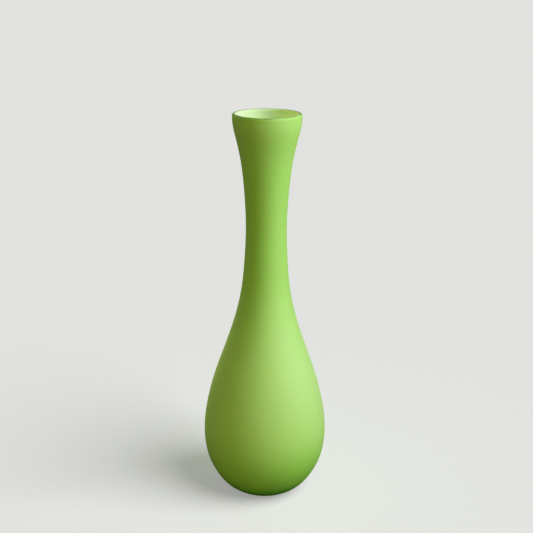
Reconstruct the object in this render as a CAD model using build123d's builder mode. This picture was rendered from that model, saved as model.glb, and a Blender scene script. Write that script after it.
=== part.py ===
"""Bud vase of satin cased glass: a green casing blown over an opal lining, with a fire-polished lip.

Millimetres, +Z up. The origin is the centre of the foot, on the surface that the vase stands on.
Every piece is turned about the Z axis, from a profile drawn in the XZ plane as (radius, height).
"""
import os

from build123d import *

# Overall size
height = 250.0
mouth_radius = 21.35
foot_radius = 18.5

# Foot: a ground flat ring round a shallow dimple
dimple_radius = 13.5
dimple_depth = 1.2

# Lip: a rounded band of green glass that closes over the ends of both layers
lip_seam_height = 247.4
lip_green = 1.3
lip_opal = 0.9
lip_wall = lip_green + lip_opal

# Outside of the heel, between the foot and the wall: (radius, height)
heel = [(26.2, 5.0), (31.9, 12.0)]
heel_direction = (1, 0.5)

# Wall stations: height, outside radius, thickness of green, thickness of opal
wall = [
    (22.0, 36.85, 2.3, 1.3),    # top of the heel
    (42.5, 39.85, 1.5, 1.1),    # belly, the widest ring
    (62.0, 37.5, 1.3, 1.0),     # blown thinnest from here up to the shoulder
    (80.0, 32.8, 1.3, 1.0),
    (100.0, 25.95, 1.35, 1.1),
    (120.0, 19.6, 1.5, 1.1),
    (140.0, 15.35, 1.65, 1.1),  # collar, where the neck begins
    (158.0, 13.65, 1.7, 1.1),
    (178.5, 12.9, 1.75, 1.1),   # waist, the narrowest ring
    (202.0, 13.95, 1.75, 1.0),
    (220.0, 15.95, 1.75, 1.0),
    (235.0, 19.15, 1.5, 0.9),   # steepest part of the flare
    (lip_seam_height, mouth_radius, lip_green, lip_opal),
]

# Bottom of each layer's bowl, from the axis out to the wall: (radius, height)
casing_bowl = [(0, 6.0), (16.0, 7.2), (28.2, 12.2)]
opal_bowl = [(0, 8.0), (15.0, 9.3), (26.6, 14.0)]
bowl_direction = (1, 0)

# The three turned surfaces: outside of the green, between green and opal, inside of the opal
outside = [(foot_radius, 0)] + heel + [(radius, level) for level, radius, green, opal in wall]
between = casing_bowl + [(radius - green, level) for level, radius, green, opal in wall]
inside = opal_bowl + [(radius - green - opal, level) for level, radius, green, opal in wall]


def profile(points, direction):
    """A smooth line through the points, which leaves the first in a direction and ends upright."""
    return Spline(points, tangents=[direction, (0, 1)], tangent_scalars=[1, 1])


# Green casing: the outer layer, thick in the base
dimple_sphere = (dimple_radius**2 + dimple_depth**2) / (2 * dimple_depth)
with BuildPart() as green_casing:
    with BuildSketch(Plane.XZ):
        with BuildLine():
            profile(outside, heel_direction)
            Line(outside[-1], between[-1])
            profile(between, bowl_direction)
            Line(between[0], (0, dimple_depth))
            RadiusArc((0, dimple_depth), (dimple_radius, 0), dimple_sphere)
            Line((dimple_radius, 0), outside[0])
        make_face()
    revolve(axis=Axis.Z)
green_casing.part.label = "green_casing"

# Opal lining: the inner layer, fused to the casing all over
with BuildPart() as opal_lining:
    with BuildSketch(Plane.XZ):
        with BuildLine():
            profile(between, bowl_direction)
            Line(between[-1], inside[-1])
            profile(inside, bowl_direction)
            Line(inside[0], between[0])
        make_face()
    revolve(axis=Axis.Z)
opal_lining.part.label = "opal_lining"

# Lip: a short band with a fully rounded crest
crest_base = height - lip_wall / 2
throat_radius = mouth_radius - lip_wall
with BuildPart() as lip_band:
    with BuildSketch(Plane.XZ):
        with BuildLine():
            Line(inside[-1], outside[-1])
            Line(outside[-1], (mouth_radius, crest_base))
            ThreePointArc(
                (mouth_radius, crest_base),
                (mouth_radius - lip_wall / 2, height),
                (throat_radius, crest_base),
            )
            Line((throat_radius, crest_base), inside[-1])
        make_face()
    revolve(axis=Axis.Z)
lip_band.part.label = "lip_band"

os.makedirs("parts", exist_ok=True)
for piece in (green_casing, opal_lining, lip_band):
    export_step(piece.part, f"parts/{piece.part.label}.step")
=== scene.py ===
"""Looks of the satin cased glass bud vase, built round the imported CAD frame. Metres, +Z up."""

import math

import bpy
import numpy as np
from mathutils import Matrix, Vector


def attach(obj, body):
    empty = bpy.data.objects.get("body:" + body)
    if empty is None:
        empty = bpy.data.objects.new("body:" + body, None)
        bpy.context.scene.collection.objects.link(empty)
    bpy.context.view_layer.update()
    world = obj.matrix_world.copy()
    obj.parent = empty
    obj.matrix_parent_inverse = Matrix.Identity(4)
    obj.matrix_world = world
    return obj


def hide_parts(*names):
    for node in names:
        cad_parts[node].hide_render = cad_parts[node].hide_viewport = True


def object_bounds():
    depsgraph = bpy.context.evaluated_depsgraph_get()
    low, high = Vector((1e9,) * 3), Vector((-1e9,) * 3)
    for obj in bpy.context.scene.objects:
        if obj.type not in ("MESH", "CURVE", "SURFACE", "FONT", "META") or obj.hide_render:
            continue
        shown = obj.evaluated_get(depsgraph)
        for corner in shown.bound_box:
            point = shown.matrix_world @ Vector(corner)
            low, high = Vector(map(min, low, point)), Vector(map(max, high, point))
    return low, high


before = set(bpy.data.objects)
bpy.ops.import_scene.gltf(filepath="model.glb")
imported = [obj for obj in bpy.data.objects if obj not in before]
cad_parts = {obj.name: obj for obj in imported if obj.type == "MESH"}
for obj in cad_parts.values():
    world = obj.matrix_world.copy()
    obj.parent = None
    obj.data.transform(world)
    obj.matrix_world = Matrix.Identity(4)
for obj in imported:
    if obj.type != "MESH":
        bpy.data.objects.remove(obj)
cad_low, cad_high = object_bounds()
HEIGHT = cad_high.z
MM = 0.001
NEAR = 1e-6                     # nearer the axis than this counts as on it
DIGITS = 6                      # decimals of a metre by which two points are told apart

# ------------------------------------------------------------------ shapes

CORNER = math.radians(20)       # a sharper turn than this in an outline is an edge of the glass
ROW_STEP = 1.25 * MM            # rows of the turned meshes, along the outline
LIP_STEP = 0.2 * MM             # the same on the lip, which curves more tightly
SEGMENTS = 224                  # and round the axis
FOOT_SOFTNESS = 0.3 * MM        # how far the ground foot's edge is rounded off
SOFT_POINTS = 6                 # points along that rounding
FUSED_GAP = 0.03 * MM           # keeps the two layers' hidden faces from lying in one another

# Hand-blown unevenness, shared by every layer
OUT_OF_ROUND = 0.10 * MM
ROUND_AT_FOOT = 0.1             # share of the height over which it grows from nothing
ROUND_AT_AXIS = 6 * MM          # and the radius over which it does, round the axis
LIP_WAVE = 0.14 * MM
LIP_WAVE_REACH = 0.06 * HEIGHT


def meridian(node):
    """The outline of a turned CAD node at y = 0 and x >= 0, as ordered (radius, height) points."""
    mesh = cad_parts[node].data
    ids, points, links = {}, [], {}

    def point_id(index):
        co = mesh.vertices[index].co
        if abs(co.y) > NEAR or co.x < -NEAR:
            return None
        key = (round(co.x, DIGITS), round(co.z, DIGITS))
        if key not in ids:
            ids[key] = len(points)
            points.append(np.array((max(co.x, 0.0), co.z)))
            links[ids[key]] = set()
        return ids[key]

    for edge in mesh.edges:
        a, b = (point_id(v) for v in edge.vertices)
        if a is not None and b is not None and a != b:
            links[a].add(b)
            links[b].add(a)
    on_axis = [i for i, p in enumerate(points) if p[0] < NEAR]
    line = [min(on_axis or links, key=lambda i: (round(points[i][1], DIGITS - 1), -points[i][0]))]
    while True:
        ahead = [i for i in links[line[-1]] if i not in line]
        if len(line) == 1 and not on_axis:      # a ring's outline starts up its outer side
            ahead = [i for i in ahead if points[i][0] > points[line[0]][0] - MM / 2]
        if not ahead:
            return np.array([points[i] for i in line])
        line.append(min(ahead, key=lambda i: np.linalg.norm(points[i] - points[line[-1]])))


def runs(line):
    """An outline cut at its corners into smooth runs."""
    step = np.diff(line, axis=0)
    heading = np.unwrap(np.arctan2(step[:, 1], step[:, 0]))
    cuts = [0, *(np.where(np.abs(np.diff(heading)) > CORNER)[0] + 1), len(line) - 1]
    return [line[a : b + 1] for a, b in zip(cuts, cuts[1:])]


def resampled(run, step=ROW_STEP):
    """Evenly spaced points on the smooth curve through a run's points."""
    along = np.r_[0, np.cumsum(np.linalg.norm(np.diff(run, axis=0), axis=1))]
    slope = np.gradient(run, along, axis=0)
    at = np.linspace(0, along[-1], max(2, round(along[-1] / step)) + 1)
    k = np.clip(np.searchsorted(along, at, side="right") - 1, 0, len(along) - 2)
    span = (along[k + 1] - along[k])[:, None]
    t = (at - along[k])[:, None] / span
    return (
        run[k] * (1 + 2 * t) * (1 - t) ** 2
        + slope[k] * span * t * (1 - t) ** 2
        + run[k + 1] * t * t * (3 - 2 * t)
        + slope[k + 1] * span * t * t * (t - 1)
    )


def softened(before, after, reach):
    """Two runs cut back from the corner they share, with the rounding that joins them between."""
    corner = before[-1]
    start = before[np.linalg.norm(before - corner, axis=1) > reach]
    end = after[np.linalg.norm(after - corner, axis=1) > reach]
    a = corner + (start[-1] - corner) / np.linalg.norm(start[-1] - corner) * reach
    b = corner + (end[0] - corner) / np.linalg.norm(end[0] - corner) * reach
    t = np.linspace(0, 1, SOFT_POINTS)[:, None]
    return start, (1 - t) ** 2 * a + 2 * t * (1 - t) * corner + t * t * b, end


def moved_along_normal(run, distance):
    """A run moved to its left, as it goes, by a distance."""
    heading = np.gradient(run, axis=0)
    heading /= np.linalg.norm(heading, axis=1)[:, None]
    moved = run + distance * np.stack([-heading[:, 1], heading[:, 0]], axis=1)
    moved[run[:, 0] < NEAR, 0] = 0.0
    return moved


def distance_to(points, line):
    """Each point's distance from a line of points."""
    a, b = line[:-1], line[1:]
    ab = b - a
    t = ((points[:, None] - a) * ab).sum(2) / (ab * ab).sum(1)
    nearest = a + np.clip(t, 0, 1)[..., None] * ab
    return np.linalg.norm(points[:, None] - nearest, axis=2).min(1)


def hand_blown(co):
    """Points of the perfect turned shape, moved as a hand-blown vase departs from it."""
    radius = np.hypot(co[:, 0], co[:, 1])
    angle = np.arctan2(co[:, 1], co[:, 0])
    level = co[:, 2] / HEIGHT
    # two slow waves that wind round the vase as they rise, and one that goes up and down it
    swell = np.cos(2 * angle + 5 * level) + 0.6 * np.cos(3 * angle - 9 * level + 1)
    swell += 0.5 * np.sin(23 * level + np.cos(angle + 2))
    off_the_foot = np.clip(level / ROUND_AT_FOOT, 0, 1)
    off_the_axis = np.clip(radius / ROUND_AT_AXIS, 0, 1)
    swell *= OUT_OF_ROUND / 2 * off_the_foot * off_the_axis
    out = co * 1.0
    out[:, 0] += swell * np.cos(angle)
    out[:, 1] += swell * np.sin(angle)
    # the wave only dips, so that the vase is no taller for it
    rise = np.clip(1 - (HEIGHT - co[:, 2]) / LIP_WAVE_REACH, 0, 1) ** 2
    wave = np.cos(2 * angle - 0.7) + 0.5 * np.cos(5 * angle + 2) - 1.5
    out[:, 2] += LIP_WAVE / 3 * rise * wave
    return out


def turned_piece(name, parts, material, values=None):
    """A mesh turned round Z from the parts of an outline; edges stay sharp where two parts meet.

    parts are lists of (radius, height) points that follow one another. The outline starts and ends
    on the axis, or is closed into a ring. values holds, by name, mesh attributes with one number
    for each point of the outline.
    """
    outline = np.concatenate([parts[0]] + [part[1:] for part in parts[1:]])
    joints = np.cumsum([len(part) - 1 for part in parts])[:-1]
    ring = outline[0, 0] > NEAR
    if ring:
        outline = outline[:-1]
    angle = np.arange(SEGMENTS) * 2 * math.pi / SEGMENTS
    verts, first, owner = [], [], []
    for row, (radius, level) in enumerate(outline):
        first.append(len(owner))
        if radius < NEAR:
            verts.append(np.array([(0.0, 0.0, level)]))
            owner.append(row)
        else:
            verts.append(
                np.stack([radius * np.cos(angle), radius * np.sin(angle), angle * 0 + level], 1)
            )
            owner += [row] * SEGMENTS
    co = hand_blown(np.concatenate(verts))

    def at(row, j):
        return first[row] + (j % SEGMENTS if outline[row, 0] > NEAR else 0)

    rows = len(outline)
    faces = []
    for low in range(rows if ring else rows - 1):
        high = (low + 1) % rows
        for j in range(SEGMENTS):
            corners = [at(low, j), at(low, j + 1), at(high, j + 1), at(high, j)]
            faces.append(list(dict.fromkeys(corners)))
    mesh = bpy.data.meshes.new(name)
    mesh.from_pydata(co.tolist(), [], faces)
    mesh.polygons.foreach_set("use_smooth", [True] * len(mesh.polygons))
    sharp_rows = {int(j) for j in joints} | ({0} if ring else set())
    owner = np.array(owner)
    for edge in mesh.edges:
        a, b = owner[edge.vertices[0]], owner[edge.vertices[1]]
        if a == b and int(a) in sharp_rows:
            edge.use_edge_sharp = True
    for key, numbers in (values or {}).items():
        layer = mesh.attributes.new(key, "FLOAT", "POINT")
        layer.data.foreach_set("value", np.asarray(numbers, np.float32)[owner])
    mesh.validate()
    mesh.materials.append(material)
    piece = bpy.data.objects.new(name, mesh)
    bpy.context.scene.collection.objects.link(piece)
    return piece


# ------------------------------------------------------------------ materials


class Nodes:
    """Builds the node tree of a material or of the world round its shader."""

    def __init__(self, owner, shader="Principled BSDF"):
        self.owner = owner
        owner.use_nodes = True
        self.tree = owner.node_tree
        self.shader = self.tree.nodes[shader]

    def put(self, node, socket, value):
        """Sets a socket, or links it when the value is another node's output."""
        if isinstance(value, bpy.types.NodeSocket):
            self.tree.links.new(value, node.inputs[socket])
        elif value is not None:
            node.inputs[socket].default_value = value

    def node(self, kind, inputs=(), **settings):
        made = self.tree.nodes.new(kind)
        for key, value in settings.items():
            setattr(made, key, value)
        for socket, value in dict(inputs).items():
            self.put(made, socket, value)
        return made

    def place(self):
        """The shaded point, in the object's own metres."""
        return self.node("ShaderNodeTexCoord").outputs["Object"]

    def along(self, axis):
        """The shaded point's coordinate along X, Y or Z."""
        return self.node("ShaderNodeSeparateXYZ", {0: self.place()}).outputs[axis]

    def attribute(self, name):
        return self.node("ShaderNodeAttribute", attribute_name=name).outputs["Fac"]

    def math(self, operation, a, b=None, c=None, clamp=False):
        made = self.node("ShaderNodeMath", operation=operation, use_clamp=clamp)
        for socket, value in enumerate((a, b, c)):
            self.put(made, socket, value)
        return made.outputs[0]

    def noise(self, scale, detail=3.0, roughness=0.5, stretch=(1, 1, 1)):
        """A noise of about 0 to 1, stretched by the share of the scale along each axis."""
        place = self.node("ShaderNodeMapping", {"Vector": self.place(), "Scale": stretch})
        inputs = {"Scale": scale, "Detail": detail, "Roughness": roughness}
        inputs["Vector"] = place.outputs[0]
        return self.node("ShaderNodeTexNoise", inputs).outputs["Fac"]

    def spread(self, value, low, high, from_low=0.0, from_high=1.0, kind="LINEAR"):
        """A value mapped to low at from_low and high at from_high, and held beyond them."""
        inputs = {0: value, 1: from_low, 2: from_high, 3: low, 4: high}
        return self.node("ShaderNodeMapRange", inputs, interpolation_type=kind).outputs[0]

    def mix(self, share, a, b, blend="MIX"):
        made = self.node("ShaderNodeMix", data_type="RGBA", blend_type=blend)
        for socket, value in ((0, share), (6, a), (7, b)):
            self.put(made, socket, value)
        return made.outputs[2]

    def through_glass(self, behind, per_mm, thickness):
        """The colour behind coloured glass: each channel fades with the thickness in mm."""
        left = [
            self.math("EXPONENT", self.math("MULTIPLY", thickness, -amount)) for amount in per_mm
        ]
        made = self.node("ShaderNodeCombineColor", dict(enumerate(left))).outputs[0]
        return self.mix(1.0, behind, made, "MULTIPLY")

    def bump(self, height, distance, strength, under=None):
        inputs = {"Height": height, "Distance": distance, "Strength": strength, "Normal": under}
        return self.node("ShaderNodeBump", inputs).outputs[0]

    def finish(self, **sockets):
        """Sets the shader's sockets, named with _ for a space, and gives back the tree's owner."""
        for socket, value in sockets.items():
            self.put(self.shader, socket.replace("_", " "), value)
        return self.owner


GLASS_IOR = 1.5
OPAL = (0.90, 0.94, 0.86, 1.0)
LINING = (0.60, 0.76, 0.43, 1.0)        # opal with a little of the green behind it
BLACK = (0.0, 0.0, 0.0, 1.0)
GREEN_PER_MM = (0.59, 0.19, 1.22)       # how fast red, green and blue fade in the green glass
GREEN_SCATTER = (0.6, 1.0, 0.25)        # how far each goes under the surface, of GREEN_DEPTH
GREEN_DEPTH = 0.8 * MM
GATHERED = (0.87 * HEIGHT, 0.96 * HEIGHT)       # heights between which the green grows thicker,
GATHERED_SHARE = 1.2                            # to this share of its thickness
GROUND_GLASS = (0.62, 0.72, 0.48, 1.0)  # fine scuffs on the ring that the vase stands on
GROUND = (0.1 * MM, 0.5 * MM)           # heights between which they fade out
# Painted light: the lip's crest is made paler in one stretch on the front right, where the window
# lamp falls on it, as though more opal backed it there
LIP_PAINTED_LIGHT = (23 * MM, 26.5 * MM)      # x - y where that stretch of the lip sets in, and is full


def satin_green():
    """Outside of the casing: opal seen through etched green glass, deeper where it is thicker."""
    n = Nodes(bpy.data.materials.new("satin_green_glass"))
    drift = n.noise(22, detail=2, stretch=(1, 1, 0.5))
    thickness = n.math("MULTIPLY", n.attribute("green_mm"), n.spread(drift, 0.95, 1.05, 0.3, 0.7))
    gathered = n.spread(n.along("Z"), 1.0, GATHERED_SHARE, *GATHERED, "SMOOTHSTEP")
    thickness = n.math("MULTIPLY", thickness, gathered)
    colour = n.through_glass(OPAL, GREEN_PER_MM, thickness)
    turning = n.noise(1, detail=2, stretch=(30, 30, 650))
    etch = n.noise(1600, detail=4, roughness=0.6)
    ground = n.spread(n.along("Z"), 1.0, 0.0, *GROUND)
    scuffs = n.spread(n.noise(2200, detail=3, stretch=(1, 0.4, 1)), 0.15, 0.4, 0.35, 0.65)
    colour = n.mix(n.math("MULTIPLY", ground, scuffs), colour, GROUND_GLASS)
    rough = n.math("ADD", n.spread(drift, 0.64, 0.70, 0.3, 0.7), n.spread(etch, -0.04, 0.04))
    rough = n.math("MULTIPLY_ADD", ground, 0.2, rough)
    normal = n.bump(turning, 0.03 * MM, 0.8)
    normal = n.bump(etch, 0.02 * MM, 0.7, under=normal)
    return n.finish(
        Base_Color=colour,
        Roughness=rough,
        IOR=GLASS_IOR,
        Specular_IOR_Level=0.8,
        Normal=normal,
        Subsurface_Weight=0.6,
        Subsurface_Radius=GREEN_SCATTER,
        Subsurface_Scale=GREEN_DEPTH,
    )


def glossy_opal():
    """Inside of the vase: opal glass as blown, with a little of the green behind it."""
    n = Nodes(bpy.data.materials.new("glossy_opal_glass"))
    drift = n.noise(30, detail=2)
    colour = n.mix(n.spread(drift, 0.0, 0.12, 0.3, 0.7), LINING, OPAL)
    ripple = n.noise(1, detail=2, stretch=(40, 40, 260))
    return n.finish(
        Base_Color=colour,
        Roughness=0.16,
        IOR=GLASS_IOR,
        Normal=n.bump(ripple, 0.05 * MM, 0.5),
        Subsurface_Weight=0.5,
        Subsurface_Radius=(0.7, 1.0, 0.4),
        Subsurface_Scale=0.3 * MM,
    )


def polished_lip():
    """Fire-polished lip: clear green glass with less opal behind its crest, and a painted highlight
    that makes the crest paler on its lit front right.
    """
    n = Nodes(bpy.data.materials.new("polished_lip_glass"))
    round_the_rim = n.math("SUBTRACT", n.along("X"), n.along("Y"))
    # painted light: stretch makes the crest paler towards the front right, where the window lamp
    # falls; opal below carries it into the colour and roughness
    stretch = n.spread(round_the_rim, 0.0, 0.25, *LIP_PAINTED_LIGHT, "SMOOTHSTEP")
    opal = n.math("ADD", n.attribute("opal_share"), stretch, clamp=True)
    behind = n.mix(n.math("SUBTRACT", 1.0, opal), OPAL, BLACK)
    colour = n.through_glass(behind, GREEN_PER_MM, n.attribute("green_mm"))
    colour = n.mix(n.attribute("lining_share"), colour, LINING)
    ripple = n.noise(260, detail=1)
    return n.finish(
        Base_Color=colour,
        Roughness=n.spread(opal, 0.2, 0.6, 0.3, 0.9),
        IOR=GLASS_IOR,
        Normal=n.bump(ripple, 0.03 * MM, 0.4),
        Subsurface_Weight=0.7,
        Subsurface_Radius=GREEN_SCATTER,
        Subsurface_Scale=GREEN_DEPTH,
    )


# ------------------------------------------------------------------ the vase


def build_casing(material):
    foot, outside, _, between = runs(meridian("green_casing"))
    foot, outside, between = resampled(foot), resampled(outside), resampled(between)
    foot, edge, outside = softened(foot, outside, FOOT_SOFTNESS)
    under = np.concatenate([foot, edge, outside])
    top = np.array([under[-1], between[0]])
    green = np.concatenate([distance_to(under, between), distance_to(between, under)]) / MM
    return turned_piece("casing", [under, top, between], material, {"green_mm": green})


def build_lining(material):
    outer, _, inner = runs(meridian("opal_lining"))
    outer = moved_along_normal(resampled(outer), FUSED_GAP)
    inner = resampled(inner)
    top = np.array([outer[-1], inner[0]])
    return turned_piece("lining", [outer, top, inner], material)


LIP_SIDES = (-1.0, -0.75, -0.35, 0.6, 0.9, 1.0)     # from the lip's inner side to its outer side
LIP_GREEN_MM = (0.5, 0.5, 1.0, 1.2, 1.4, 1.5)
LIP_OPAL = (1.0, 1.0, 0.55, 0.50, 0.75, 1.0)        # how much opal backs the green there
LIP_LINING = (1.0, 0.9, 0.0, 0.0, 0.0, 0.0)         # and how much of the lining's colour covers it


def build_lip(material):
    crest = resampled(meridian("lip_band"), LIP_STEP)
    middle = (crest[0, 0] + crest[-1, 0]) / 2
    outward = (crest[:, 0] - middle) / abs(crest[0, 0] - middle)
    values = {
        "green_mm": np.interp(outward, LIP_SIDES, LIP_GREEN_MM),
        "opal_share": np.interp(outward, LIP_SIDES, LIP_OPAL),
        "lining_share": np.interp(outward, LIP_SIDES, LIP_LINING),
    }
    closing = np.array([crest[-1], crest[0]])
    return turned_piece("lip", [crest, closing], material, values)


casing = build_casing(satin_green())
lining = build_lining(glossy_opal())
lip = build_lip(polished_lip())
for piece, node, slot in (
    (casing, "green_casing", "green_glass"),
    (lining, "opal_lining", "opal_glass"),
    (lip, "lip_band", "lip_glass"),
):
    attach(piece, "root")
    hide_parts(node)

# ------------------------------------------------------------------ stage, light and camera

FLOOR_REACH = 30.0
FLOOR_LEVEL = -0.05 * MM
FLOOR_GLOW = 0.4                # what the floor gives off itself, as a share of its colour
SHELF_REACH = 60 * MM
SHELF_LEVEL = -0.1 * MM
SHELF_CORNERS = 64
WINDOW_DISTANCE = 0.8
GLOW_DEPTH = 5 * MM             # how far below the rim the lamp in the mouth hangs
SENSOR_MM = 36.0


def matt_plane(name, corners, level, colour, **sockets):
    """A flat, wholly matt face at a level."""
    mesh = bpy.data.meshes.new(name)
    mesh.from_pydata([(x, y, 0) for x, y in corners], [], [range(len(corners))])
    plane = bpy.data.objects.new(name, mesh)
    plane.location.z = level
    bpy.context.scene.collection.objects.link(plane)
    n = Nodes(bpy.data.materials.new("matt_" + name))
    mesh.materials.append(n.finish(Base_Color=(*colour, 1), Specular_IOR_Level=0.0, **sockets))
    return plane


def plain_floor(colour):
    """A pale floor. It neither lights nor shades the vase, which stood on something dark."""
    r = FLOOR_REACH
    corners = [(-r, -r), (r, -r), (r, r), (-r, r)]
    glow = {"Emission_Color": (*colour, 1), "Emission_Strength": FLOOR_GLOW}
    floor = matt_plane("floor", corners, FLOOR_LEVEL, colour, **glow)
    floor.visible_shadow = False
    floor.visible_diffuse = False
    floor.visible_glossy = False
    return floor


def dark_shelf():
    """A black disc under the vase, which no camera sees, for the dark shelf that it stood on."""
    turns = [i * 2 * math.pi / SHELF_CORNERS for i in range(SHELF_CORNERS)]
    corners = [(SHELF_REACH * math.cos(a), SHELF_REACH * math.sin(a)) for a in turns]
    disc = matt_plane("dark_shelf", corners, SHELF_LEVEL, BLACK[:3])
    disc.visible_camera = False


def towards(azimuth, elevation):
    """A direction, in degrees. Azimuth 0 is the camera's side and 90 is its right."""
    a, e = math.radians(azimuth), math.radians(elevation)
    return Vector((math.sin(a) * math.cos(e), -math.cos(a) * math.cos(e), math.sin(e)))


def lamp(name, kind, way, power, colour, lit, **settings):
    """A light from a direction, which falls on the objects lit alone and isn't seen itself."""
    light = bpy.data.lights.new(name, kind)
    light.energy, light.color = power, colour
    for key, value in settings.items():
        setattr(light, key, value)
    made = bpy.data.objects.new(name, light)
    made.rotation_euler = way.to_track_quat("Z", "Y").to_euler()
    made.visible_camera = False
    bpy.context.scene.collection.objects.link(made)
    group = bpy.data.collections.new(name)
    for obj in lit:
        group.objects.link(obj)
    made.light_linking.receiver_collection = group
    return made


def sun(name, azimuth, elevation, width, power, colour, lit):
    """A soft light from far off, as wide as the width in degrees."""
    way = towards(azimuth, elevation)
    return lamp(name, "SUN", way, power, colour, lit, angle=math.radians(width))


def studio(light, seen):
    """The surroundings: dim light from all round, and a pale backdrop beyond the floor."""
    n = Nodes(bpy.data.worlds.new("studio"), "Background")
    by_camera = n.node("ShaderNodeLightPath").outputs["Is Camera Ray"]
    bpy.context.scene.world = n.finish(Color=n.mix(by_camera, (*light, 1), (*seen, 1)))


def photo_camera(across, back, height, pitch, roll, lens):
    """A camera in front of the vase that looks along +Y and down by its pitch, in degrees."""
    data = bpy.data.cameras.new("camera")
    data.lens, data.sensor_width = lens, SENSOR_MM
    camera = bpy.data.objects.new("camera", data)
    tilt = Matrix.Rotation(math.radians(90 - pitch), 4, "X")
    turn = Matrix.Rotation(math.radians(roll), 4, "Z")
    camera.matrix_world = Matrix.Translation((across, -back, height)) @ tilt @ turn
    bpy.context.scene.collection.objects.link(camera)
    bpy.context.scene.camera = camera


floor = plain_floor((0.80, 0.81, 0.79))
dark_shelf()
vase = [casing, lining, lip]

softbox = towards(70, 33)
window = lamp("window", "AREA", softbox, 8.54, (0.81, 0.78, 1.0), vase, shape="SQUARE", size=0.5)
window.location = softbox * WINDOW_DISTANCE + Vector((0, 0, HEIGHT / 2))
# azimuth, elevation and width in degrees, power, colour
sun("room", 12, 18, 60, 0.85, (0.82, 1.0, 0.035), vase)
sun("far_side", -95, 22, 120, 0.42, (1.0, 0.81, 0.43), vase)
sun("far_back", -130, 25, 60, 0.38, (0.95, 1.0, 0.47), vase)
sun("behind", -170, 20, 40, 2.3, (1.0, 1.0, 0.7), vase).visible_glossy = False
# the shelf's own light comes through the disc: only the vase's pieces stop it
shelf = sun("shelf", 10, -35, 60, 0.5, (1.0, 0.24, 0.56), vase)
shelf.light_linking.blocker_collection = shelf.light_linking.receiver_collection
# in the mouth, for light that comes through the lit wall
glow = lamp("glow", "AREA", towards(-90, 0), 0.0012, (1.0, 1.0, 0.35), [lining, lip], size=8 * MM)
glow.location = (0, 0, HEIGHT - GLOW_DEPTH)
glow.visible_glossy = False
sun("floor_light", 64, 45, 50, 2.3, (1.0, 1.0, 1.0), [floor])

studio(light=(0.03, 0.025, 0.02), seen=(0.758, 0.765, 0.74))
photo_camera(
    across=0.35 * MM, back=603.8 * MM, height=341.4 * MM, pitch=17.33, roll=0.49, lens=67.5
)
bpy.context.scene.view_settings.view_transform = "Standard"
